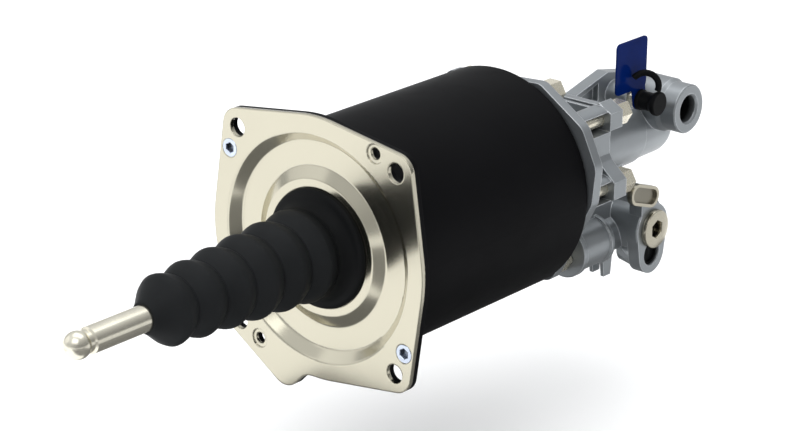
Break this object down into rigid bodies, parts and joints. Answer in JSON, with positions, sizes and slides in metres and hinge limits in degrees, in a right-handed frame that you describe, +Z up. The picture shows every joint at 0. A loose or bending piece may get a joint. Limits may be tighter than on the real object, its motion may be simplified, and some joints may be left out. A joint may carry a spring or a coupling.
{
  "type": "clutch servo",
  "caption": "Air-assisted hydraulic clutch servo for a heavy vehicle, with gaitered push rod, black pot, pressed front plate and cast rear housing with relay valve.",
  "frame": {"origin": "centre of the front plate's outer face, in the middle of the four mounting holes", "axes": "+Y from the push rod's tip towards the rear housing along the servo's axis, +Z up, +X towards the side that the hydraulic port and relay plug face"},
  "size_m": [0.146, 0.4748, 0.157],
  "materials": {
    "plated_steel": "satin",
    "black_steel": "satin",
    "black_enamel": "satin",
    "gasket_fibre": "matte",
    "rubber": "matte",
    "zinc_steel": "satin",
    "spring_steel": "satin",
    "piston_alloy": "satin",
    "seal_rubber": "satin",
    "guide_plastic": "matte",
    "ground_steel": "polished",
    "bronze": "satin",
    "cast_alloy": "matte",
    "zinc_bolts": "satin",
    "tag_plastic": "gloss"
  },
  "bodies": {
    "servo": {"front_plate": "plated_steel", "plate_screws": "black_steel", "cylinder_pot": "black_enamel", "housing_gasket": "gasket_fibre", "gland_ring": "spring_steel", "gland_wiper": "seal_rubber", "gland_bush": "bronze", "gland_seal": "seal_rubber", "return_spring": "spring_steel", "rear_housing": "cast_alloy", "tie_bolts_long": "zinc_bolts", "tie_bolts_short": "zinc_bolts", "duct_plug": "plated_steel", "relay_spring": "spring_steel", "valve_seat": "bronze", "valve_spring": "spring_steel", "relay_plug": "zinc_bolts", "relay_plug_seal": "seal_rubber", "relay_end_plug": "zinc_bolts", "relay_cover": "zinc_bolts", "exhaust_flap": "seal_rubber", "bleed_screw": "zinc_bolts", "bleed_cap": "seal_rubber", "bleed_tag": "tag_plastic", "cap_strap": "seal_rubber"},
    "piston": {"air_piston": "piston_alloy", "piston_lip_seal": "seal_rubber", "piston_guide_ring": "guide_plastic", "hydraulic_plunger": "ground_steel"},
    "rod": {"push_rod": "zinc_steel", "rod_clip": "spring_steel", "gaiter": "rubber"},
    "relay": {"relay_piston": "ground_steel", "relay_piston_ring": "seal_rubber"},
    "valve": {"inlet_valve": "seal_rubber"}
  },
  "joints": [
    {"name": "push_rod_slide", "type": "slide", "parent": "servo", "child": "piston", "axis": [0, 1, 0], "range_m": [0, 0.07], "stiffness_N_per_m": 350, "springref_m": -0.15, "deforming": ["return_spring", "gaiter"]},
    {"name": "rod_swing", "type": "hinge", "parent": "piston", "child": "rod", "pos_m": [0, 0.013, 0], "axis": [1, 0, 0], "range_deg": [-3, 3], "stiffness_Nm_per_rad": 20, "deforming": ["gaiter"]},
    {"name": "relay_shift", "type": "slide", "parent": "servo", "child": "relay", "axis": [1, 0, 0], "range_m": [0, 0.003], "stiffness_N_per_m": 1500, "springref_m": -0.004, "deforming": ["relay_spring"]},
    {"name": "valve_lift", "type": "slide", "parent": "servo", "child": "valve", "axis": [1, 0, 0], "range_m": [0, 0.002], "deforming": ["valve_spring"]}
  ],
  "couplings": [
    {"joint": "valve_lift", "follows": "relay_shift", "ratio": 0.6667}
  ]
}
